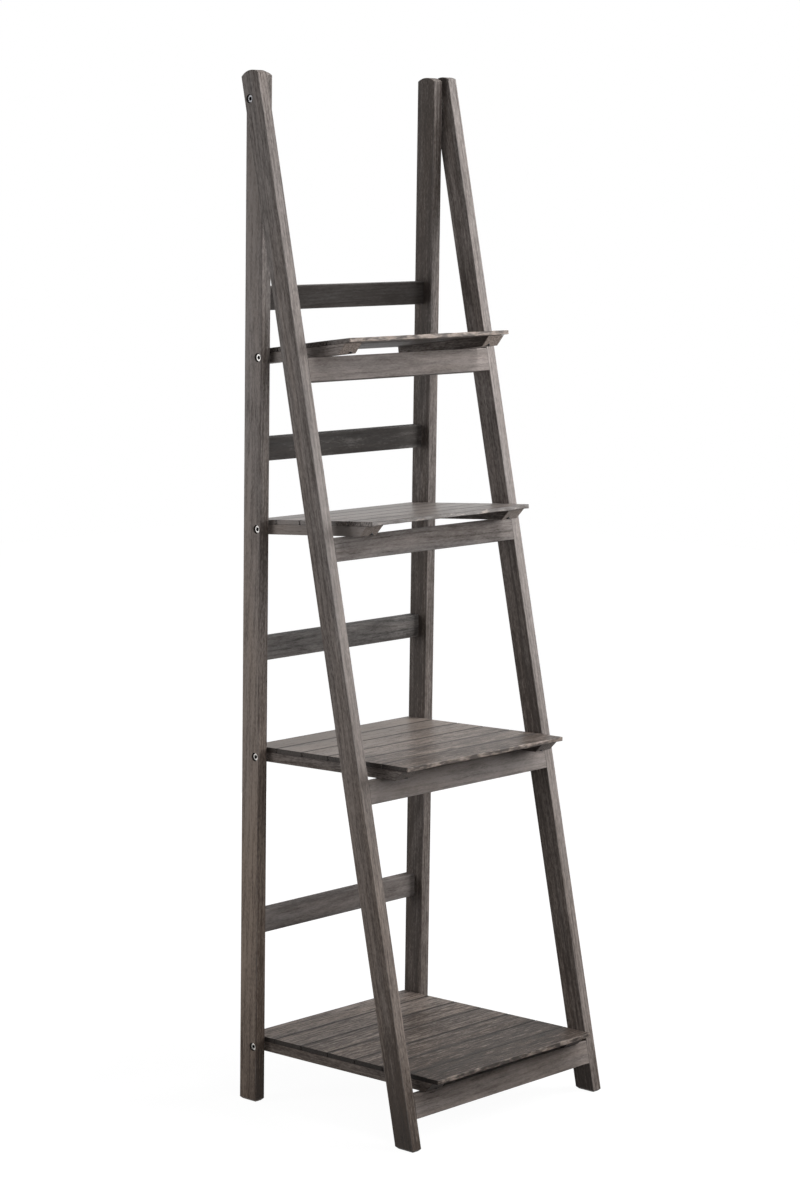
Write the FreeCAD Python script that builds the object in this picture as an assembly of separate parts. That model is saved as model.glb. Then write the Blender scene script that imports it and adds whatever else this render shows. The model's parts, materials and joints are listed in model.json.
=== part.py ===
import FreeCAD, Part
import math
import os

# Stance: lengths in millimetres, angles in degrees, heights above the floor
pivot_height = 1460.0
overall_width = 415.0
front_lean = 11.19
rear_lean = -1.11

# Legs, with the wood left between a bolt head's recess and the nearest face
leg_thickness = 18.0
leg_width = 33.5
front_recess_wall = 3.25
rear_recess_wall = 1.25
leg_top_reach = 38.85
leg_top_radius = 28.0
foot_bevel = 3.5

# Cross rails, their lower edges placed down the leg from the pivot by shares of the pivot height
front_rail_height = 34.0
front_rail_thickness = 18.0
front_rail_shares = (0.27753, 0.45192, 0.68733, 0.99192)
rear_rail_height = 34.0
rear_rail_thickness = 18.0
rear_rail_shares = (0.2037, 0.35171, 0.55103, 0.82938)

# Shelves, their bolts placed down the rear leg from the pivot by shares of the pivot height
bolt_shares = (0.2489, 0.4176, 0.64555, 0.94308)
shelf_fronts = (168.0, 212.3, 286.0, 351.9)
slat_counts = (4, 5, 6, 7)
slat_thickness = 7.0
slat_joint = 1.2
batten_height = 14.2
batten_width = 34.0
bolt_rise = 8.6
nose_setback = 10.5
nose_length = 15.0
rest_gap = 0.3

# Softened edges of the timber
frame_round = 1.0
slat_round = 0.8
batten_round = 0.6

# Bolts, inserts and washers
bolt_diameter = 6.0
bolt_head_diameter = 10.0
bolt_head_height = 6.0
socket_width = 5.0
socket_sides = 6
socket_depth = 3.0
head_recess_diameter = 12.5
head_recess_depth = 8.6
running_gap = 0.05
glue_gap = 0.05
insert_diameter = 8.0
insert_skin = 5.0
batten_insert_length = 14.0
bolt_end_gap = 1.0
pivot_washer_thickness = 2.0
pivot_washer_diameter = 18.0
shelf_washer_thickness = 1.2
shelf_washer_diameter = 14.0
washer_hole_gap = 0.4

# Dowels in the rail ends and screws under the slats
dowel_diameter = 8.0
dowel_leg_depth = 10.0
dowel_rail_depth = 20.0
dowel_spacing = 16.0
dowel_bevel = 0.8
hole_end_gap = 0.5
screw_diameter = 3.5
screw_head_diameter = 7.0
screw_head_height = 2.0
screw_bite = 4.5
screw_inset = 22.0
screw_sink = 0.4

# Widths worked out from the legs inwards
front_outer = overall_width / 2
front_inner = front_outer - leg_thickness
rear_outer = front_inner - pivot_washer_thickness
rear_inner = rear_outer - leg_thickness
shelf_half = rear_inner - shelf_washer_thickness
screw_line = shelf_half - screw_inset

# Depths of the leg faces from the pivot, positive towards the back
front_leg_back = head_recess_diameter / 2 + front_recess_wall
front_leg_front = front_leg_back - leg_width
rear_leg_front = -head_recess_diameter / 2 - rear_recess_wall
rear_leg_back = rear_leg_front + leg_width

# Distances down the legs from the pivot
front_rail_drops = [share * pivot_height for share in front_rail_shares]
rear_rail_drops = [share * pivot_height for share in rear_rail_shares]
bolt_drops = [share * pivot_height for share in bolt_shares]

# Heights of the shelf layers above the bolt line
batten_bottom = -bolt_rise
slat_bottom = batten_bottom + batten_height
slat_top = slat_bottom + slat_thickness

# Directions and turns of the two frames
across = FreeCAD.Vector(1, 0, 0)
front_turn = FreeCAD.Rotation(across, -front_lean)
rear_turn = FreeCAD.Rotation(across, -rear_lean)
shelf_numbers = range(len(bolt_drops))


def bolt_point(number):
    """Bolt axis of a shelf, from the pivot."""
    return rear_turn.multVec(FreeCAD.Vector(0, 0, -bolt_drops[number]))


def shelf_tilt(number):
    """Rise of a shelf towards the front, where its battens rest on the front rail's upper edge."""
    arris_drop = front_rail_drops[number] - front_rail_height + frame_round
    arris = front_turn.multVec(FreeCAD.Vector(0, front_leg_front + frame_round, -arris_drop))
    span = arris - bolt_point(number)
    offset = bolt_rise + frame_round + rest_gap
    return math.degrees(math.atan2(span.y, span.z) + math.asin(offset / span.Length)) + 90


def foot_drop(depth, lean):
    """Distance down a leg from the pivot to the floor, at a given depth in the leg."""
    angle = math.radians(lean)
    return pivot_height / math.cos(angle) - depth * math.tan(angle)


def shelf_reach(number):
    """How far a shelf's front edge stands in front of the pivot."""
    angle = math.radians(shelf_tilt(number))
    return shelf_fronts[number] * math.cos(angle) - slat_bottom * math.sin(angle) - bolt_point(number).y


front_foot = front_turn.multVec(FreeCAD.Vector(0, front_leg_front, -foot_drop(front_leg_front, front_lean)))
rear_foot = rear_turn.multVec(FreeCAD.Vector(0, rear_leg_back, -foot_drop(rear_leg_back, rear_lean)))
front_reach = max([-front_foot.y] + [shelf_reach(number) for number in shelf_numbers])
pivot = FreeCAD.Vector(0, (front_reach - rear_foot.y) / 2, pivot_height)


def block(x_range, y_range, z_range):
    """A rectangular bar between three pairs of limits."""
    size = [limits[1] - limits[0] for limits in (x_range, y_range, z_range)]
    return Part.makeBox(*size, FreeCAD.Vector(x_range[0], y_range[0], z_range[0]))


def rod(radius, x_start, x_end, y, z):
    """A round bar lying across the shelf."""
    return Part.makeCylinder(radius, x_end - x_start, FreeCAD.Vector(x_start, y, z), across)


def soften(bar, radius, wanted):
    """Round the edges of a bar that the given test picks out."""
    return bar.makeFillet(radius, [edge for edge in bar.Edges if wanted(edge)])


def placed(shape, turn, point):
    """Turn a shape about its own origin and set that origin at a point from the pivot."""
    moved = shape.copy()
    moved.Placement = FreeCAD.Placement(pivot + point, turn)
    return moved


def mirrored(shape):
    """The same shape on the left side."""
    return shape.mirror(FreeCAD.Vector(0, 0, 0), across)


def pair(shape):
    """A right-hand shape and its left-hand twin."""
    return [shape, mirrored(shape)]


def foot_outline(inner, outer, front, back, lean, rise):
    """Level outline of a bevelled foot about the pivot, at a height above the floor."""
    turn = FreeCAD.Rotation(across, -lean)
    toe = turn.multVec(FreeCAD.Vector(0, front, -foot_drop(front, lean))).y
    heel = turn.multVec(FreeCAD.Vector(0, back, -foot_drop(back, lean))).y
    spread = rise - foot_bevel
    level = rise - pivot_height
    corners = [
        FreeCAD.Vector(inner - spread, toe - spread, level),
        FreeCAD.Vector(outer + spread, toe - spread, level),
        FreeCAD.Vector(outer + spread, heel + spread, level),
        FreeCAD.Vector(inner - spread, heel + spread, level),
    ]
    return Part.makePolygon(corners + corners[:1])


def foot_waste(inner, outer, front, back, lean):
    """The wood that a bevel takes off around the foot of a leg, with room to spare outside."""
    rises = (-foot_bevel / 2, 2 * foot_bevel)
    kept = Part.makeLoft([foot_outline(inner, outer, front, back, lean, rise) for rise in rises], True, True)
    room = kept.BoundBox
    room.enlarge(foot_bevel)
    bottom = -pivot_height - foot_bevel / 4
    top = -pivot_height + 1.5 * foot_bevel
    waste = block((room.XMin, room.XMax), (room.YMin, room.YMax), (bottom, top)).cut(kept)
    waste.rotate(FreeCAD.Vector(0, 0, 0), across, lean)
    return waste


def leg_bar(inner, outer, front, back, lean):
    """A plain leg about its pivot, with a level bevelled foot and a rounded top."""
    shoulder = leg_top_reach - leg_top_radius + math.sqrt(leg_top_radius ** 2 - (leg_width / 2) ** 2)
    front_toe = FreeCAD.Vector(inner, front, -foot_drop(front, lean))
    back_toe = FreeCAD.Vector(inner, back, -foot_drop(back, lean))
    back_shoulder = FreeCAD.Vector(inner, back, shoulder)
    crown = FreeCAD.Vector(inner, (front + back) / 2, leg_top_reach)
    front_shoulder = FreeCAD.Vector(inner, front, shoulder)
    outline = Part.Wire([
        Part.makeLine(front_toe, back_toe),
        Part.makeLine(back_toe, back_shoulder),
        Part.Arc(back_shoulder, crown, front_shoulder).toShape(),
        Part.makeLine(front_shoulder, front_toe),
    ])
    bar = Part.Face(outline).extrude(across * (outer - inner))
    knee = -foot_drop(0, lean) + leg_width
    bar = soften(bar, frame_round, lambda edge: edge.BoundBox.ZMax > knee)
    return bar.cut(foot_waste(inner, outer, front, back, lean))


def dowel_heights(drop, height):
    """Heights of the two dowels in the end of a rail, from the pivot."""
    middle = height / 2 - drop
    return (middle - dowel_spacing / 2, middle + dowel_spacing / 2)


def dowel_holes(x_start, x_end, depth, drops, height):
    """Dowel holes for a whole set of rails."""
    radius = dowel_diameter / 2 + glue_gap
    heights = [level for drop in drops for level in dowel_heights(drop, height)]
    return [rod(radius, x_start, x_end, depth, level) for level in heights]


def front_leg():
    """Right front leg: bored for the pivot bolt, its head and the rail dowels."""
    bar = leg_bar(front_inner, front_outer, front_leg_front, front_leg_back, front_lean)
    seat = front_outer - head_recess_depth
    bores = [
        rod(bolt_diameter / 2 + running_gap, front_inner, front_outer, 0, 0),
        rod(head_recess_diameter / 2, seat, front_outer, 0, 0),
    ]
    depth = front_leg_front + front_rail_thickness / 2
    hole_end = front_inner + dowel_leg_depth + hole_end_gap
    bores += dowel_holes(front_inner, hole_end, depth, front_rail_drops, front_rail_height)
    return bar.cut(bores)


def rear_leg():
    """Right rear leg: bored for the pivot insert, the shelf bolts and the rail dowels."""
    bar = leg_bar(rear_inner, rear_outer, rear_leg_front, rear_leg_back, rear_lean)
    bores = [rod(insert_diameter / 2 + glue_gap, rear_inner + insert_skin, rear_outer, 0, 0)]
    seat = rear_outer - head_recess_depth
    for drop in bolt_drops:
        bores.append(rod(bolt_diameter / 2 + running_gap, rear_inner, rear_outer, 0, -drop))
        bores.append(rod(head_recess_diameter / 2, seat, rear_outer, 0, -drop))
    depth = rear_leg_back - rear_rail_thickness / 2
    hole_end = rear_inner + dowel_leg_depth + hole_end_gap
    bores += dowel_holes(rear_inner, hole_end, depth, rear_rail_drops, rear_rail_height)
    return bar.cut(bores)


def rail(half_length, front, thickness, drop, height):
    """A cross rail with rounded long edges and dowel holes in both ends."""
    bar = block((-half_length, half_length), (front, front + thickness), (-drop, height - drop))
    bar = soften(bar, frame_round, lambda edge: edge.BoundBox.XLength > half_length)
    hole_start = half_length - dowel_rail_depth - hole_end_gap
    holes = dowel_holes(hole_start, half_length, front + thickness / 2, [drop], height)
    return bar.cut(holes + [mirrored(hole) for hole in holes])


def rail_dowels(inner, depth, drops, height):
    """Bevelled dowels joining a set of rails to their legs."""
    start = inner - dowel_rail_depth
    end = inner + dowel_leg_depth
    dowels = []
    for drop in drops:
        for level in dowel_heights(drop, height):
            dowel = rod(dowel_diameter / 2, start, end, depth, level)
            dowel = dowel.makeChamfer(dowel_bevel, [dowel.Edges[0], dowel.Edges[2]])
            dowels += pair(dowel)
    return Part.makeCompound(dowels)


def socket_bolt(seat, tip):
    """A socket-head bolt whose head bears outwards on its seat."""
    top = seat + bolt_head_height
    corner_radius = socket_width / math.sqrt(3)
    corners = []
    for step in range(socket_sides + 1):
        angle = 2 * math.pi * step / socket_sides
        height = corner_radius * math.sin(angle)
        corners.append(FreeCAD.Vector(top, corner_radius * math.cos(angle), height))
    socket = Part.Face(Part.makePolygon(corners)).extrude(across * -socket_depth)
    head = rod(bolt_head_diameter / 2, seat, top, 0, 0)
    shank = rod(bolt_diameter / 2, tip, seat, 0, 0)
    return head.fuse(shank).removeSplitter().cut(socket)


def insert(start, end):
    """A threaded insert."""
    bore = rod(bolt_diameter / 2 + glue_gap, start, end, 0, 0)
    return rod(insert_diameter / 2, start, end, 0, 0).cut(bore)


def washer(start, end, diameter):
    """A flat washer on a bolt."""
    bore = rod(bolt_diameter / 2 + washer_hole_gap, start, end, 0, 0)
    return rod(diameter / 2, start, end, 0, 0).cut(bore)


def slat_edges(number, index):
    """Front and back of one slat, from the bolt, counting from the shelf's front."""
    pitch = (shelf_fronts[number] + rear_leg_back + slat_joint) / slat_counts[number]
    front = index * pitch - shelf_fronts[number]
    return (front, front + pitch - slat_joint)


def slat_screw(number, index, spare):
    """A countersunk screw through the right batten into one slat, or its hole with room to spare."""
    depth = sum(slat_edges(number, index)) / 2
    base = FreeCAD.Vector(screw_line, depth, batten_bottom + screw_sink)
    up = FreeCAD.Vector(0, 0, 1)
    head_radius = screw_head_diameter / 2 + spare
    shank_radius = screw_diameter / 2 + spare
    head = Part.makeCone(head_radius, shank_radius, screw_head_height, base, up)
    length = batten_height - screw_sink + screw_bite + spare
    return head.fuse(Part.makeCylinder(shank_radius, length, base, up)).removeSplitter()


def screw_hole(number, index):
    """The hole that a slat screw sits in, opened to the underside of the batten."""
    hole = slat_screw(number, index, glue_gap)
    depth = sum(slat_edges(number, index)) / 2
    mouth = FreeCAD.Vector(screw_line, depth, batten_bottom)
    recess = Part.makeCylinder(screw_head_diameter / 2 + glue_gap, screw_sink, mouth)
    return hole.fuse(recess)


def batten(number):
    """Right batten: cut to a raked nose in front, bored for its bolt insert and the slat screws."""
    nose_top = nose_setback - shelf_fronts[number]
    nose_bottom = nose_top + nose_length
    inner = shelf_half - batten_width
    corners = [
        FreeCAD.Vector(inner, nose_top, slat_bottom),
        FreeCAD.Vector(inner, nose_bottom, batten_bottom),
        FreeCAD.Vector(inner, rear_leg_back, batten_bottom),
        FreeCAD.Vector(inner, rear_leg_back, slat_bottom),
    ]
    outline = Part.makePolygon(corners + corners[:1])
    bar = Part.Face(outline).extrude(across * batten_width)
    bar = soften(bar, batten_round, lambda edge: edge.BoundBox.ZMin < batten_bottom + batten_round)
    start = shelf_half - batten_insert_length
    holes = [rod(insert_diameter / 2 + glue_gap, start - hole_end_gap, shelf_half, 0, 0)]
    holes += [screw_hole(number, index) for index in range(slat_counts[number])]
    return bar.cut(holes)


def slat(number, index):
    """One slat with softened edges and two screw holes from below."""
    bar = block((-shelf_half, shelf_half), slat_edges(number, index), (slat_bottom, slat_top))
    bar = soften(bar, slat_round, lambda edge: True)
    return bar.cut(pair(screw_hole(number, index)))


def export(name, shape, turn, point):
    """Place a finished piece and write it out."""
    placed(shape, turn, point).exportStep("parts/" + name + ".step")


os.makedirs("parts", exist_ok=True)
at_pivot = FreeCAD.Vector(0, 0, 0)

# Front frame
for side, leg in zip(("right", "left"), pair(front_leg())):
    export("front_leg_" + side, leg, front_turn, at_pivot)
for number, drop in enumerate(front_rail_drops):
    bar = rail(front_inner, front_leg_front, front_rail_thickness, drop, front_rail_height)
    export("front_rail_%d" % (number + 1), bar, front_turn, at_pivot)
front_dowel_depth = front_leg_front + front_rail_thickness / 2
front_dowels = rail_dowels(front_inner, front_dowel_depth, front_rail_drops, front_rail_height)
export("front_rail_dowels", front_dowels, front_turn, at_pivot)

# Rear frame
for side, leg in zip(("right", "left"), pair(rear_leg())):
    export("rear_leg_" + side, leg, rear_turn, at_pivot)
rear_rail_front = rear_leg_back - rear_rail_thickness
for number, drop in enumerate(rear_rail_drops):
    bar = rail(rear_inner, rear_rail_front, rear_rail_thickness, drop, rear_rail_height)
    export("rear_rail_%d" % (number + 1), bar, rear_turn, at_pivot)
rear_dowel_depth = rear_leg_back - rear_rail_thickness / 2
rear_dowels = rail_dowels(rear_inner, rear_dowel_depth, rear_rail_drops, rear_rail_height)
export("rear_rail_dowels", rear_dowels, rear_turn, at_pivot)

# Pivot hardware between the two frames
pivot_insert_end = rear_inner + insert_skin + hole_end_gap
pivot_bolt = socket_bolt(front_outer - head_recess_depth, pivot_insert_end + bolt_end_gap)
export("pivot_bolts", Part.makeCompound(pair(pivot_bolt)), rear_turn, at_pivot)
pivot_insert = insert(pivot_insert_end, rear_outer)
export("pivot_inserts", Part.makeCompound(pair(pivot_insert)), rear_turn, at_pivot)
pivot_washer = washer(rear_outer, front_inner, pivot_washer_diameter)
export("pivot_washers", Part.makeCompound(pair(pivot_washer)), rear_turn, at_pivot)

# Washers between the rear legs and the shelves
shelf_washers = []
for number in shelf_numbers:
    ring = washer(shelf_half, rear_inner, shelf_washer_diameter)
    ring.translate(FreeCAD.Vector(0, 0, -bolt_drops[number]))
    shelf_washers += pair(ring)
export("shelf_washers", Part.makeCompound(shelf_washers), rear_turn, at_pivot)

# Shelves
for number in shelf_numbers:
    name = "shelf_%d_" % (number + 1)
    turn = FreeCAD.Rotation(across, -shelf_tilt(number))
    point = bolt_point(number)
    for side, bar in zip(("right", "left"), pair(batten(number))):
        export(name + "batten_" + side, bar, turn, point)
    screws = []
    for index in range(slat_counts[number]):
        export(name + "slat_%d" % (index + 1), slat(number, index), turn, point)
        screws += pair(slat_screw(number, index, 0))
    export(name + "slat_screws", Part.makeCompound(screws), turn, point)
    insert_start = shelf_half - batten_insert_length
    bolt = socket_bolt(rear_outer - head_recess_depth, insert_start + bolt_end_gap)
    export(name + "bolts", Part.makeCompound(pair(bolt)), turn, point)
    export(name + "inserts", Part.makeCompound(pair(insert(insert_start, shelf_half))), turn, point)
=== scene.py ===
import json
import math

import bmesh
import bpy
from mathutils import Matrix, Vector, noise


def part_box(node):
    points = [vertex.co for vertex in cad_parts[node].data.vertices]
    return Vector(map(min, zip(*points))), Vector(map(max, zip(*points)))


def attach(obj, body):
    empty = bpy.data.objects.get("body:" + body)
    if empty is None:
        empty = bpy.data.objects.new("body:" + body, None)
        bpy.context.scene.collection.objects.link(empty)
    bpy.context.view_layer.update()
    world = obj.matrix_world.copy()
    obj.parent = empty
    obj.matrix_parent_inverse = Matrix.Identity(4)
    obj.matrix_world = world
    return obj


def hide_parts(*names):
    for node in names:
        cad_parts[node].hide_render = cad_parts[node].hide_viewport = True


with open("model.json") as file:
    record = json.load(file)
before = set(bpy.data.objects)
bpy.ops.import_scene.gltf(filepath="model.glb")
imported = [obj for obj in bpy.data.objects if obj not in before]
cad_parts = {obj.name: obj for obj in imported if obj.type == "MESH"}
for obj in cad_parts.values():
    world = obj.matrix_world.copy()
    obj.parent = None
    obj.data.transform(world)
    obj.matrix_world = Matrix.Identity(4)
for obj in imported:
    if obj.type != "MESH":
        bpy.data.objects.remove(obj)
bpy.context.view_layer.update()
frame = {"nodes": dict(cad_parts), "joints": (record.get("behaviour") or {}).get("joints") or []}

# Rear legs: two straight softwood bars with rounded tops and level feet, planed, sanded and stained
# grey-brown. They carry the rear rails and the shelf bolts, have painted shade on their inner and front
# faces, and are darker at the feet.
joint_places = {joint["name"]: Vector(joint["pos_m"]) for joint in frame["joints"]}
pivot_place = joint_places["frame_pivot"]
leg_half_width = 0.01675
leg_half_thickness = 0.009
rear_leg_axis = 0.00925
recess_radius = 0.00625
corner_reach = 0.010
foot_reach = 0.24
fade_reach = 1.0
highlight_height = 0.85
highlight_reach = 0.65
face_skin = 0.0012
face_blend = 0.001
inner_face_shade = 0.55
corner_stain = 0.35
corner_mark = (0.006, 0.12, 3, 91, 2.2, 0.55)
recess_skin = 0.0007
recess_blend = 0.0005
recess_rim = 0.0004
recess_shade = 0.9
noise_middle = 0.5
stain_light = (0.291, 0.256, 0.240, 1)
stain_dark = (0.071, 0.058, 0.051, 1)
# The deepest stain colour also serves as painted shade in the bolt recesses and the slat joints.
deep_stain_and_shade = (0.024, 0.020, 0.018, 1)
brown_light = (0.315, 0.250, 0.205, 1)
brown_dark = (0.078, 0.056, 0.043, 1)
ash_light = (0.262, 0.258, 0.254, 1)
ash_dark = (0.060, 0.059, 0.058, 1)
# This grey serves both for rubbed wear on the edges and as a painted highlight on the front faces of the
# legs.
wear_and_highlight_grey = (0.365, 0.337, 0.325, 1)
leg_figure = {
    "streaks": 1.4, "grain": 1.3, "clouds": 0.6, "specks": 1.6, "rings": 0.22,
    "gloss": 0.2, "roughness": 0.60,
}


class Shade:
    """A socket in a material's nodes that can be used in sums like a number."""

    def __init__(self, tree, socket):
        self.tree = tree
        self.socket = socket

    def node(self, kind, settings, inputs, output=0):
        """A new node with its settings and the values or links of its sockets."""
        made = self.tree.nodes.new(kind)
        for name, value in settings.items():
            setattr(made, name, value)
        for name, value in inputs.items():
            if isinstance(value, Shade):
                self.tree.links.new(value.socket, made.inputs[name])
            else:
                made.inputs[name].default_value = value
        return Shade(self.tree, made.outputs[output])

    def maths(self, operation, first, second=0.0):
        """A Math node on two values."""
        return self.node("ShaderNodeMath", {"operation": operation}, {0: first, 1: second})

    def held(self):
        """The same value, kept between 0 and 1."""
        return self.node("ShaderNodeClamp", {}, {"Value": self})

    def mixed(self, first, second):
        """A colour between two others, with this value as the share of the second."""
        return self.node("ShaderNodeMix", {"data_type": "RGBA"}, {0: self, 6: first, 7: second}, 2)

    def feeds(self, shader, name):
        """Link this value to one of a shader's inputs."""
        self.tree.links.new(self.socket, shader.inputs[name])

    def __add__(self, other):
        return self.maths("ADD", self, other)

    def __radd__(self, other):
        return self.maths("ADD", other, self)

    def __sub__(self, other):
        return self.maths("SUBTRACT", self, other)

    def __rsub__(self, other):
        return self.maths("SUBTRACT", other, self)

    def __mul__(self, other):
        return self.maths("MULTIPLY", self, other)

    def __rmul__(self, other):
        return self.maths("MULTIPLY", other, self)

    def __truediv__(self, other):
        return self.maths("DIVIDE", self, other)

    def __pow__(self, other):
        return self.maths("POWER", self, other)

    def __abs__(self):
        return self.maths("ABSOLUTE", self)


def painted(name):
    """A new material, its shader and the place of a point on the piece."""
    material = bpy.data.materials.new(name)
    material.use_nodes = True
    tree = material.node_tree
    coordinates = tree.nodes.new("ShaderNodeTexCoord")
    return material, tree.nodes["Principled BSDF"], Shade(tree, coordinates.outputs["Object"])


class Timber:
    """Grey-stained softwood on one piece, with growth rings, long streaks, open pores and rubbed edges.

    A mark holds its sizes across and along the grain in metres, its detail and its shift of the seed. The
    marks of patches also hold a contrast and the level that is taken off.
    """

    streak_mark = (0.0036, 0.15, 4, 23)
    grain_mark = (0.0024, 0.03, 3, 29)
    cloud_mark = (0.018, 0.09, 3, 5)
    drift_mark = (0.06, 0.6, 2, 0)
    speck_mark = (0.0015, 0.0060, 2, 71)
    pore_mark = (0.0012, 0.03, 2, 37)
    tint_mark = (0.02, 0.3, 2, 51)
    bend_mark = (0.05, 0.4, 1, 11)
    scuff_mark = (0.006, 0.03, 3, 67, 2.6, 0.9)
    stain_level = 0.66
    tint_reach = 1.2
    pore_start = 0.56
    pore_contrast = 9
    pore_stain = 0.25
    pore_depth = 0.00025
    scuff_reach = 0.0018
    scuff_share = 0.5
    ring_spacing = 0.0052
    ring_sharpness = 2.5
    pith_offset = 0.03
    pith_spread = 0.02
    pith_slope = 0.03
    pith_bends = (0.03, 0.02)

    def __init__(self, name, seed, place, turn, grain):
        self.seed = seed
        self.grain = grain
        self.material, self.shader, point = painted(name)
        self.height = point.node("ShaderNodeSeparateXYZ", {}, {"Vector": point}, "Z")
        inputs = {"Vector": point, "Location": place, "Rotation": (turn, 0, 0)}
        self.local = point.node("ShaderNodeMapping", {"vector_type": "TEXTURE"}, inputs)
        split = {"Vector": self.local}
        self.sides = [self.local.node("ShaderNodeSeparateXYZ", {}, split, axis) for axis in range(3)]

    def noise(self, across, along, detail, shift):
        """Noise drawn out along the grain, with its feature sizes in metres."""
        scale = [1 / across] * 3
        scale[self.grain] = 1 / along
        stretched = self.local.node("ShaderNodeMapping", {}, {"Vector": self.local, "Scale": scale})
        inputs = {"Vector": stretched, "W": self.seed + shift, "Scale": 1, "Detail": detail, "Roughness": 0.6}
        return self.local.node("ShaderNodeTexNoise", {"noise_dimensions": "4D"}, inputs)

    def patches(self, across, along, detail, shift, contrast, start):
        """Noise with its contrast raised, kept between 0 and 1."""
        return (self.noise(across, along, detail, shift) * contrast - start).held()

    def rings(self):
        """Dark late wood of growth rings about a pith that lies beside the piece, a little aslant."""
        across = [side for axis, side in enumerate(self.sides) if axis != self.grain]
        along = self.sides[self.grain]
        bend = self.noise(*self.bend_mark)
        offset = self.pith_offset + self.pith_spread * math.sin(self.seed * 2.4)
        slope = self.pith_slope * math.sin(self.seed * 1.7)
        first = across[0] + bend * self.pith_bends[0] + along * slope + offset
        second = across[1] + bend * self.pith_bends[1] + offset * math.cos(self.seed)
        distance = (first * first + second * second) ** 0.5
        wave = distance.maths("SINE", distance * (2 * math.pi / self.ring_spacing))
        return (wave * 0.5 + 0.5) ** self.ring_sharpness

    def edge(self, half, reach):
        """How near a point is to an edge of a bar with the given half sizes, 1 on the edge itself."""
        gaps = [size - abs(self.sides[axis]) for axis, size in half.items()]
        return (1 - sum(gaps[1:], gaps[0]) / reach).held()

    def finish(self, half, figure, tone, warmth, layers=()):
        """Colour, roughness and relief; each layer is a mask and the colour that shows where it is 1."""
        streak = self.noise(*self.streak_mark) - noise_middle
        grain = self.noise(*self.grain_mark) - noise_middle
        cloud = self.noise(*self.cloud_mark) - noise_middle
        drift = self.noise(*self.drift_mark) - noise_middle
        speck = self.noise(*self.speck_mark) - noise_middle
        pores = ((self.noise(*self.pore_mark) - self.pore_start) * self.pore_contrast).held()
        rings = self.rings()
        value = streak * figure["streaks"] + grain * figure["grain"] + cloud * figure["clouds"] + drift
        value = value + speck * figure["specks"] - rings * figure["rings"]
        value = value - pores * self.pore_stain + (self.stain_level + tone)
        tint = (self.noise(*self.tint_mark) - noise_middle) * self.tint_reach + warmth
        level = value.held()
        grey = level.mixed(stain_dark, stain_light)
        colour = tint.held().mixed(grey, level.mixed(brown_dark, brown_light))
        colour = (tint * -1).held().mixed(colour, level.mixed(ash_dark, ash_light))
        colour = (value * -1).held().mixed(colour, deep_stain_and_shade)
        scuff = self.patches(*self.scuff_mark)
        rubbed = self.edge(half, self.scuff_reach) * scuff * self.scuff_share
        colour = rubbed.mixed(colour, wear_and_highlight_grey)
        for mask, shade in layers:
            colour = mask.mixed(colour, shade)
        colour.feeds(self.shader, "Base Color")
        roughness = streak * 0.2 + pores * 0.1 + figure["roughness"]
        roughness.feeds(self.shader, "Roughness")
        self.shader.inputs["Specular IOR Level"].default_value = figure["gloss"]
        relief = streak * 0.7 + grain * 0.4 + speck * 0.5 - pores * 0.8 - rings * 0.25
        bump = {"Height": relief, "Distance": self.pore_depth, "Strength": 0.8}
        self.local.node("ShaderNodeBump", {}, bump).feeds(self.shader, "Normal")
        return self.material


def middle(node):
    """Centre of a node's box."""
    low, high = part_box(node)
    return (low + high) / 2


def lean(upper, lower):
    """Turn about X that takes the upright onto the line through two nodes."""
    run = middle(upper) - middle(lower)
    return math.atan2(-run.y, run.z)


def paint(node, material):
    """Give a carried-over node its finish."""
    mesh = frame["nodes"][node].data
    mesh.materials.clear()
    mesh.materials.append(material)


def leg_timber(node, turn, axis, bolts, look):
    """Stained finish of one leg, deeper along the front corner and darker at the foot, with painted shade
    inside and in the recesses, and painted light and shade on the front face.
    """
    place = pivot_place + Vector((middle(node).x, axis * math.cos(turn), axis * math.sin(turn)))
    timber = Timber(node, look["seed"], place, turn, 2)
    depth = leg_half_thickness - timber.sides[0] * math.copysign(1, place.x)
    inner_face = ((depth - 2 * leg_half_thickness + face_skin) / face_blend).held()
    front_gap = timber.sides[1] + leg_half_width
    ragged = timber.patches(*corner_mark)
    corner = (1 - front_gap / corner_reach).held() * ragged * (1 - depth / face_skin).held()
    front_face = (1 - front_gap / face_skin).held()
    foot = (1 - timber.height / foot_reach).held()
    fade = (1 - timber.height / fade_reach).held()
    # Painted shade: the inner face is darkened where shade falls between the legs.
    tone = look["tone"] - inner_face * inner_face_shade - corner * corner_stain
    tone = tone - foot * foot * look["foot"] - fade * look["fade"]
    # Painted shade on the front face, set per leg and changing towards the bottom.
    tone = tone - front_face * (fade * fade * look["front_fade"] + look["front"])
    warmth = fade * look["brown"]
    # Painted highlight: the front face is lightened in a band about the middle height.
    highlight_band = (1 - abs(timber.height - highlight_height) / highlight_reach).held()
    layers = [(front_face * highlight_band * look["front_highlight"], wear_and_highlight_grey)]
    # Painted shade: the wood inside each bolt recess is darkened.
    sunk = ((depth - recess_skin) / recess_blend).held()
    for bolt in bolts:
        spot = Matrix.Rotation(-turn, 3, "X") @ (bolt - place)
        across = timber.sides[1] - spot.y
        along = timber.sides[2] - spot.z
        distance = (across * across + along * along) ** 0.5
        inside = ((recess_radius + recess_rim - distance) / recess_rim).held()
        layers.append((inside * sunk * recess_shade, deep_stain_and_shade))
    half = {0: leg_half_thickness, 1: leg_half_width}
    return timber.finish(half, leg_figure, tone, warmth, layers)


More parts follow.
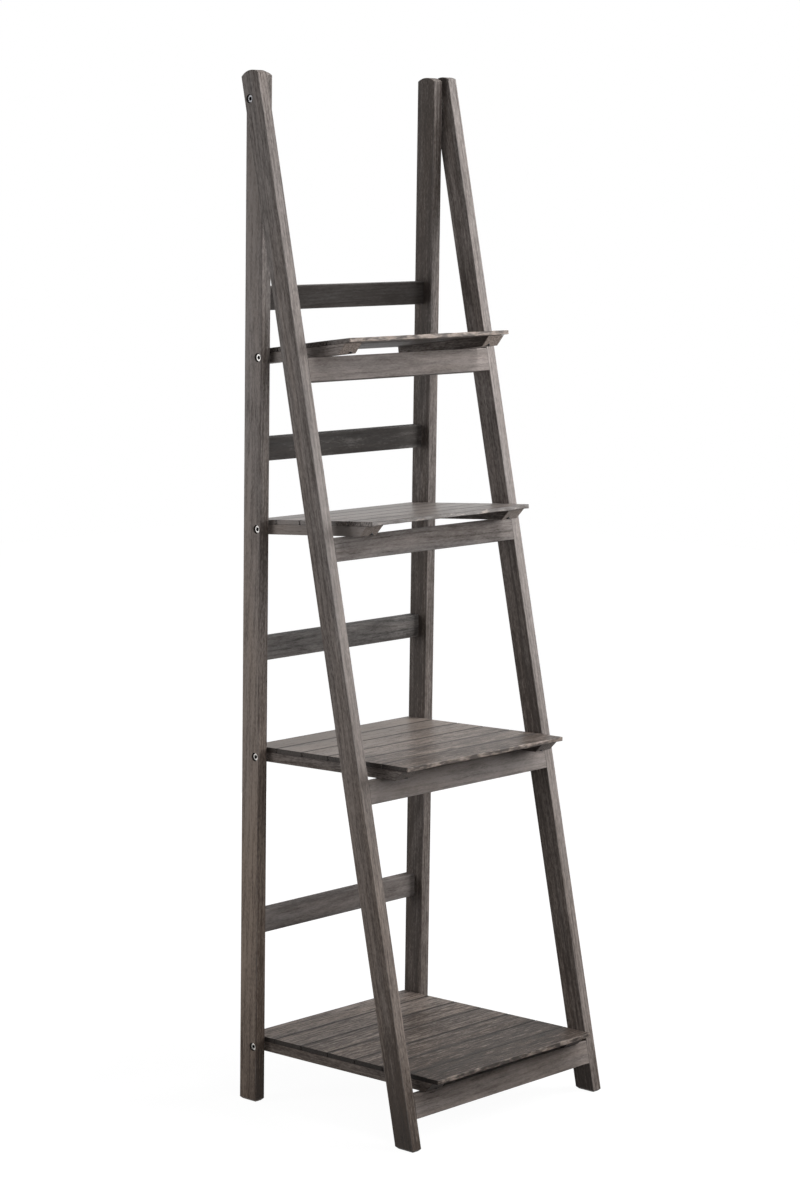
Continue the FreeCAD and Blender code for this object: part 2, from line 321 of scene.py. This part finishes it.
rear_turn = lean("rear_rail_1", "rear_rail_4")
shelf_bolts = [place for name, place in joint_places.items() if name.startswith("shelf_")]
rear_leg_looks = {
    "rear_leg_left": {
        "seed": 3.1, "tone": 0.2, "fade": 0, "brown": 1.5, "foot": 0.5,
        "front": 0.45, "front_fade": 0.2, "front_highlight": 0,
    },
    "rear_leg_right": {
        "seed": 10.1, "tone": 0, "fade": 0, "brown": 0.3, "foot": 0.5,
        "front": 0.36, "front_fade": -0.14, "front_highlight": 0,
    },
}
for node, look in rear_leg_looks.items():
    paint(node, leg_timber(node, rear_turn, rear_leg_axis, shelf_bolts, look))

# Front legs: the same bars, standing outside the rear legs and leaning forwards. The pivot bolts pass
# through them near the top, and their front faces are painted a paler grey as a highlight.
front_leg_axis = -0.00725
front_turn = lean("front_rail_1", "front_rail_4")
front_leg_looks = {
    "front_leg_left": {
        "seed": 20.4, "tone": 0.02, "fade": 0.36, "brown": 0.7, "foot": 0.7,
        "front": -0.05, "front_fade": -0.33, "front_highlight": 0.3,
    },
    "front_leg_right": {
        "seed": 27.4, "tone": 0.05, "fade": -0.3, "brown": 0.3, "foot": 0.35,
        "front": 0.21, "front_fade": 0.04, "front_highlight": 0.2,
    },
}
for node, look in front_leg_looks.items():
    paint(node, leg_timber(node, front_turn, front_leg_axis, [pivot_place], look))

# Rails: short bars between the legs of each frame, doweled and glued into their inner faces. They are
# flat-sawn, so their figure is broad and cloudy. Their front faces carry painted shade, darkest on the upper
# ones behind.
rail_half_height = 0.017
rail_half_thickness = 0.009
rail_back_tone = -0.1
rail_seed = 40.3
rail_figure = {
    "streaks": 0.5, "grain": 0.35, "clouds": 1.6, "specks": 0.9, "rings": 0.15,
    "gloss": 0.08, "roughness": 0.65,
}
rail_front_shades = {
    "front_rail_": ((0.05, 0), (-0.18, -0.15), (0.12, -0.05), (0.0, 0.2)),
    "rear_rail_": ((-1.4, -0.6), (-0.74, -0.6), (-0.28, -0.6), (-0.04, -0.2)),
}
for kind, looks in rail_front_shades.items():
    turn = front_turn if kind == "front_rail_" else rear_turn
    for number, (tone, warmth) in enumerate(looks, 1):
        node = kind + str(number)
        timber = Timber(node, rail_seed + 3 * number + 9 * turn, middle(node), turn, 0)
        front_face = (1 - (timber.sides[1] + rail_half_thickness) / face_skin).held()
        # Painted shade: the front face takes the listed tone, darkest on the upper rails behind.
        shaded = front_face * (tone - rail_back_tone) + rail_back_tone
        half = {1: rail_half_thickness, 2: rail_half_height}
        paint(node, timber.finish(half, rail_figure, shaded, warmth))

# Battens: a bearer under each end of a shelf, screwed to the slats from below. The front end is sawn to
# a rake that shows paler end grain, and the rear end turns on the shelf's bolt.
slat_thickness = 0.007
slat_bottom = 0.0056
batten_height = 0.0142
nose_setback = 0.0105
nose_length = 0.015
raw_pale = (0.400, 0.335, 0.295, 1)
sawn_mark = (0.0016, 0.0016, 2, 81, 3, 1)
batten_seed = 90.7
batten_inner_shade = 0.8
no_edges = {2: 1}
shelf_slats = {1: 4, 2: 5, 3: 6, 4: 7}
batten_tones = {1: 0.3, 2: 0.45, 3: -0.16, 4: -0.26}
batten_warmths = {1: 0.05, 2: 0.1, 3: 0.15, 4: 0.5}
nose_rawness = {1: 0.85, 2: 0.6, 3: 0.2, 4: 0.0}
nose_shade = {1: 0.0, 2: 0.0, 3: 0.2, 4: 0.9}


def shelf_turn(number):
    """Turn about X that lays the level onto a shelf."""
    run = middle("shelf_%d_slat_%d" % (number, shelf_slats[number])) - middle("shelf_%d_slat_1" % number)
    return math.atan2(run.z, run.y)


def slat_depth(node, turn):
    """Width of a slat from front to rear, from its box."""
    low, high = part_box(node)
    return (high.y - low.y - slat_thickness * abs(math.sin(turn))) / math.cos(turn)


for number, tone in batten_tones.items():
    turn = shelf_turn(number)
    bolt = joint_places["shelf_%d_fold" % number]
    front_slat = "shelf_%d_slat_1" % number
    front_middle = Matrix.Rotation(-turn, 3, "X") @ (middle(front_slat) - bolt)
    nose_top = front_middle.y - slat_depth(front_slat, turn) / 2 + nose_setback
    rake_length = math.hypot(nose_length, batten_height)
    for side, seed in {"left": 0, "right": 1}.items():
        node = "shelf_%d_batten_%s" % (number, side)
        timber = Timber(node, batten_seed + 5 * number + seed, bolt, turn, 1)
        ahead = (timber.sides[1] - nose_top) * (batten_height / rake_length)
        above = (timber.sides[2] - slat_bottom) * (nose_length / rake_length)
        sawn_face = (1 - (ahead + above) / face_blend).held()
        sawn = timber.patches(*sawn_mark).mixed(brown_dark, raw_pale)
        low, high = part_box(node)
        inner = min(abs(low.x), abs(high.x))
        inner_face = ((inner + face_skin - abs(timber.sides[0])) / face_blend).held()
        # Painted shade: the inner face is darkened, and on the lower shelves the raked end too.
        shaded = tone - inner_face * batten_inner_shade - sawn_face * nose_shade[number]
        layers = [(sawn_face * nose_rawness[number], sawn)]
        paint(node, timber.finish(no_edges, leg_figure, shaded, batten_warmths[number], layers))

# Slats: thin boards laid side by side across the battens, planed on top. The front one of each shelf has
# a waney edge, where the rough sawn side was only brushed and the stain took unevenly.
raw_brown = (0.240, 0.185, 0.150, 1)
slat_figure = {"clouds": 0.9, "specks": 2.2, "rings": 0.3, "gloss": 0.1, "roughness": 0.55}
slat_streaks = 0.5
slat_grain = 1.3
slat_seed = 130.9
slat_variation = 0.06
wax_roughness = 0.3
joint_reach = 0.0045
joint_shade = 0.95
underside_skin = 0.0006
underside_blend = 0.0004
underside_shade = 0.6
edge_skin = 0.0032
edge_blend = 0.0012
edge_stain = 0.7
grit_share = 0.9
raw_mark = (0.006, 0.02, 3, 81)
raw_contrast = 6
grit_mark = (0.0020, 0.008, 3, 87, 3.4, 1.0)
slat_contrast = {1: 2.0, 2: 3.0, 3: 3.0, 4: 3.3}
slat_wax = {1: 0.06, 2: 0.4, 3: 0.2, 4: 0.05}
slat_tones_shade_and_sheen = {1: (0.05, 0.05), 2: (-0.2, 1.0), 3: (-0.5, 0.6), 4: (-0.95, -0.05)}
slat_warmths = {1: 0.0, 2: 0.15, 3: 0.5, 4: 0.5}
end_stain = {1: 0.4, 2: 0.3, 3: 0.85, 4: 0.9}
edge_rawness = {1: (0.55, 0.4), 2: (0.0, 0.15), 3: (0.4, 0.4), 4: (0.4, 0.5)}
slat_round = 0.0008
wane_depth = 0.0016
wane_thinning = 0.0011
wane_reach = 0.004
edge_cuts = 140


def waver(along, seed, row):
    """Smooth random value along a board, between 0 and 1."""
    return noise.noise((along, seed, row)) * 0.5 + 0.5


def waney_slat(name, size, place, turn, seed):
    """A board whose front edge wavers in depth and thickness, always inside its planed size."""
    board = bmesh.new()
    bmesh.ops.create_cube(board, size=1, matrix=Matrix.Diagonal((*size, 1)))
    runs = {edge: abs(edge.verts[0].co.x - edge.verts[1].co.x) for edge in board.edges}
    lengthwise = [edge for edge, run in runs.items() if run > slat_thickness]
    bmesh.ops.subdivide_edges(board, edges=lengthwise, cuts=edge_cuts)
    corners = [edge for edge in board.edges if edge.calc_face_angle() > 1]
    bmesh.ops.bevel(
        board, geom=corners, offset=slat_round, offset_type="OFFSET", segments=3,
        profile=0.5, affect="EDGES", material=-1,
    )
    for vert in board.verts:
        nearness = max(0.0, 1 - (vert.co.y + size[1] / 2) / wane_reach)
        slow = waver(vert.co.x * 22, seed, 0.5)
        quick = waver(vert.co.x * 95, seed, 7.5)
        layer = waver(vert.co.x * 60, seed, 3 + vert.co.z * 260)
        chip = waver(vert.co.x * 40, seed, 13.5)
        vert.co.y += nearness * wane_depth * (0.5 * slow + 0.2 * quick + 0.5 * layer)
        vert.co.z -= nearness * wane_thinning * chip * math.copysign(1, vert.co.z)
    board.transform(Matrix.Translation(place) @ Matrix.Rotation(turn, 4, "X"))
    mesh = bpy.data.meshes.new(name)
    board.to_mesh(mesh)
    board.free()
    piece = bpy.data.objects.new(name, mesh)
    bpy.context.scene.collection.objects.link(piece)
    return piece


for number, count in shelf_slats.items():
    turn = shelf_turn(number)
    # Painted light: the slats of each shelf run from a front tone to a rear tone, a painted sheen towards the
    # rear of shelves 2 and 3 and painted shadow at the front of shelf 4.
    front_tone, rear_tone = slat_tones_shade_and_sheen[number]
    for index in range(1, count + 1):
        node = "shelf_%d_slat_%d" % (number, index)
        low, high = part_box(node)
        place = (low + high) / 2
        length = high.x - low.x
        depth = slat_depth(node, turn)
        tone = front_tone + (rear_tone - front_tone) * (index - 1) / (count - 1)
        tone += slat_variation * math.sin(7.1 * index + number)
        timber = Timber(node, slat_seed + 13 * number + index, place, turn, 0)
        half = {1: depth / 2, 2: slat_thickness / 2}
        # Painted shade: darkened along the edges where the slats meet and on the underside.
        joint = timber.edge(half, joint_reach)
        end = ((abs(timber.sides[0]) - length / 2 + face_skin) / face_blend).held()
        underside = ((underside_skin - slat_thickness / 2 - timber.sides[2]) / underside_blend).held()
        layers = [(joint * joint_shade, deep_stain_and_shade), (end * end_stain[number], deep_stain_and_shade)]
        if index == 1:
            front_face = ((edge_skin - depth / 2 - timber.sides[1]) / edge_blend).held()
            left_raw, right_raw = edge_rawness[number]
            rawness = timber.sides[0] * (2 * (right_raw - left_raw) / length) + (left_raw + right_raw - 0.5)
            patches = ((timber.noise(*raw_mark) - noise_middle) * raw_contrast + rawness).held()
            grit = timber.patches(*grit_mark).mixed(raw_brown, raw_pale)
            layers.append((front_face * edge_stain, stain_dark))
            layers.append((front_face * patches * grit_share, grit))
        contrast = slat_contrast[number]
        figure = dict(slat_figure, streaks=contrast * slat_streaks, grain=contrast * slat_grain)
        shaded = tone - underside * underside_shade
        finish = timber.finish(half, figure, shaded, slat_warmths[number], layers)
        timber.shader.inputs["Coat Weight"].default_value = slat_wax[number]
        timber.shader.inputs["Coat Roughness"].default_value = wax_roughness
        paint(node, finish)
        if index == 1:
            size = (length, depth, slat_thickness)
            piece = waney_slat("shelf_%d_front_board" % number, size, place, turn, 5.3 * number)
            piece.data.materials.append(finish)
            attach(piece, "shelf_%d" % number)
            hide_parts(node)

# Bolts, washers and screws: zinc-plated steel, turned and pressed, and darker on the screws. The bolt heads
# sit in round recesses in the legs, the washers between the wooden faces, and the screws under the battens.
zinc_grey = (0.56, 0.55, 0.53, 1)
zinc_dull = (0.32, 0.31, 0.30, 1)
zinc_dark = (0.20, 0.20, 0.21, 1)
zinc_bright = (0.86, 0.84, 0.79, 1)
dull_steel_and_socket_shade = (0.05, 0.05, 0.05, 1)
socket_radius = 0.0029
socket_blend = 0.0002
dull_scale = 420
turning_scale = 2600
turning_depth = 0.00005


def plated(name, bright, dull, roughness, axis=None):
    """Plated metal with fine turning marks and dulled patches, with painted shade in the sockets about an
    axis along X.
    """
    material, shader, point = painted(name)
    cloud = point.node("ShaderNodeTexNoise", {}, {"Vector": point, "Scale": dull_scale, "Detail": 4})
    marks = point.node("ShaderNodeTexNoise", {}, {"Vector": point, "Scale": turning_scale, "Detail": 2})
    colour = ((cloud - 0.35) * 2).held().mixed(dull, bright)
    if axis:
        across = point.node("ShaderNodeSeparateXYZ", {}, {"Vector": point}, "Y") - axis.y
        up = point.node("ShaderNodeSeparateXYZ", {}, {"Vector": point}, "Z") - axis.z
        distance = (across * across + up * up) ** 0.5
        # Painted shade inside the hex socket of the bolt head.
        colour = ((socket_radius - distance) / socket_blend).held().mixed(colour, dull_steel_and_socket_shade)
    colour.feeds(shader, "Base Color")
    (cloud * 0.2 + roughness).feeds(shader, "Roughness")
    bump = {"Height": marks, "Distance": turning_depth, "Strength": 0.5}
    point.node("ShaderNodeBump", {}, bump).feeds(shader, "Normal")
    shader.inputs["Metallic"].default_value = 1
    return material


zinc = plated("zinc_plate", zinc_grey, zinc_dull, 0.25)
for node in ("pivot_washers", "shelf_washers"):
    paint(node, zinc)
dark_steel = plated("dark_steel", zinc_dark, dull_steel_and_socket_shade, 0.4)
for number in shelf_slats:
    paint("shelf_%d_slat_screws" % number, dark_steel)
# The plating's brightness differs between the pivot and each shelf: painted reflection and shade on identical
# bolts.
paint("pivot_bolts", plated("pivot_bolts", zinc_dark, zinc_dark, 0.3, pivot_place))
for number, bright in {1: zinc_grey, 2: zinc_dull, 3: zinc_bright, 4: zinc_bright}.items():
    node = "shelf_%d_bolts" % number
    paint(node, plated(node, bright, zinc_dull, 0.25, joint_places["shelf_%d_fold" % number]))

# Threaded inserts: plain machined brass sleeves with a thread inside for the bolts. They are driven into
# the rear legs for the pivot bolts and into the battens for the shelf bolts.
brass_bright = (0.66, 0.48, 0.22, 1)
brass_dull = (0.38, 0.26, 0.11, 1)
brass = plated("machined_brass", brass_bright, brass_dull, 0.25)
paint("pivot_inserts", brass)
for number in shelf_slats:
    paint("shelf_%d_inserts" % number, brass)

# Dowels: round pegs of unstained beech. They are glued half into the ends of the rails and half into
# the inner faces of the legs, so they don't show.
beech = (0.520, 0.350, 0.205, 1)
beech_dark = (0.330, 0.200, 0.105, 1)
fleck_mark = (0.0012, 0.006, 2, 3, 3, 1)
for node, seed in {"front_rail_dowels": 240.2, "rear_rail_dowels": 241.2}.items():
    timber = Timber(node, seed, (0, 0, 0), 0, 0)
    fleck = timber.patches(*fleck_mark).mixed(beech, beech_dark)
    everywhere = (timber.noise(0.01, 0.05, 1, 9) + 1).held()
    paint(node, timber.finish(no_edges, leg_figure, 0, 0, [(everywhere, fleck)]))

# Floor: a plain pale studio floor under the feet. It fades into the white background further out and
# keeps the shelf's shadow.
floor_half = 6
floor_grey = (0.09, 0.09, 0.09, 1)
floor_shade = (0.04, 0.04, 0.04, 1)
floor_glow = 0.96
floor_fade_start = 0.5
floor_fade_rate = 0.16
floor_mesh = bmesh.new()
bmesh.ops.create_grid(floor_mesh, x_segments=1, y_segments=1, size=floor_half)
floor_data = bpy.data.meshes.new("studio_floor")
floor_mesh.to_mesh(floor_data)
floor_mesh.free()
floor = bpy.data.objects.new("studio_floor", floor_data)
bpy.context.scene.collection.objects.link(floor)


def shown(tree):
    """1 for rays that show a surface as it looks, 0 for rays that carry its light to other pieces."""
    path = tree.nodes.new("ShaderNodeLightPath")
    kinds = ("Is Camera Ray", "Is Glossy Ray", "Is Transmission Ray")
    rays = [Shade(tree, path.outputs[kind]) for kind in kinds]
    return (rays[0] + rays[1] + rays[2]).held()


floor_material, floor_shader, floor_point = painted("studio_floor")
floor_shader.inputs["Roughness"].default_value = 1
floor_shader.inputs["Specular IOR Level"].default_value = 0
floor_shader.inputs["Emission Strength"].default_value = 1
floor_shown = shown(floor_material.node_tree)
floor_shown.mixed(floor_shade, floor_grey).feeds(floor_shader, "Base Color")
floor_reach = floor_point.node("ShaderNodeVectorMath", {"operation": "LENGTH"}, {0: floor_point}, "Value")
floor_light = floor_shown * (((floor_reach - floor_fade_start) * floor_fade_rate).held() + floor_glow)
floor_light.mixed((0, 0, 0, 1), (1, 1, 1, 1)).feeds(floor_shader, "Emission Color")
floor_data.materials.append(floor_material)

# Studio light: a pale surround that shows as white, a softbox on the right, one overhead, and three weaker
# ones in front on the left, behind on the left and low behind on the right.
surround_level = 0.045
softbox_size = 1.0
aim = Vector((0, 0, 1.0))
softboxes = {
    "right_softbox": ((1.3, -1.0, 1.2), 28.5),
    "overhead_softbox": ((0.5, -0.9, 2.7), 28.5),
    "front_softbox": ((-1.0, -1.8, 1.2), 11.25),
    "left_softbox": ((-1.85, 1.05, 1.05), 15.75),
    "rear_softbox": ((1.2, 2.1, 0.45), 14),
}
world = bpy.data.worlds.new("studio")
world.use_nodes = True
bpy.context.scene.world = world
surround = world.node_tree.nodes["Background"]
surround.inputs["Color"].default_value = (1, 1, 1, 1)
surround.inputs["Strength"].default_value = surround_level
surround_shown = shown(world.node_tree)
backdrop = surround_shown.node("ShaderNodeBackground", {}, {"Color": (1, 1, 1, 1), "Strength": 1})
dim_light = Shade(world.node_tree, surround.outputs["Background"])
both = surround_shown.node("ShaderNodeMixShader", {}, {0: surround_shown, 1: dim_light, 2: backdrop})
both.feeds(world.node_tree.nodes["World Output"], "Surface")
for name, (place, watts) in softboxes.items():
    lamp = bpy.data.lights.new(name, "AREA")
    lamp.shape = "SQUARE"
    lamp.size = softbox_size
    lamp.energy = watts
    light = bpy.data.objects.new(name, lamp)
    light.location = place
    light.rotation_euler = (aim - Vector(place)).to_track_quat("-Z", "Y").to_euler()
    light.visible_glossy = name != "rear_softbox"
    bpy.context.scene.collection.objects.link(light)

# Camera: at about chest height, in front on the left, looking slightly down. A long lens keeps the uprights
# close to parallel and takes in the whole shelf.
azimuth = math.radians(-47.11)
elevation = math.radians(7.62)
camera_data = bpy.data.cameras.new("camera")
camera_data.sensor_fit = "VERTICAL"
camera_data.sensor_height = 36
camera_data.lens = 91.66
camera = bpy.data.objects.new("camera", camera_data)
camera.location = (-3.24075, pivot_place.y - 3.10609, 1.33142)
camera.rotation_euler = (math.pi / 2 - elevation, 0, azimuth)
bpy.context.scene.collection.objects.link(camera)
bpy.context.scene.camera = camera
bpy.context.scene.view_settings.view_transform = "Standard"
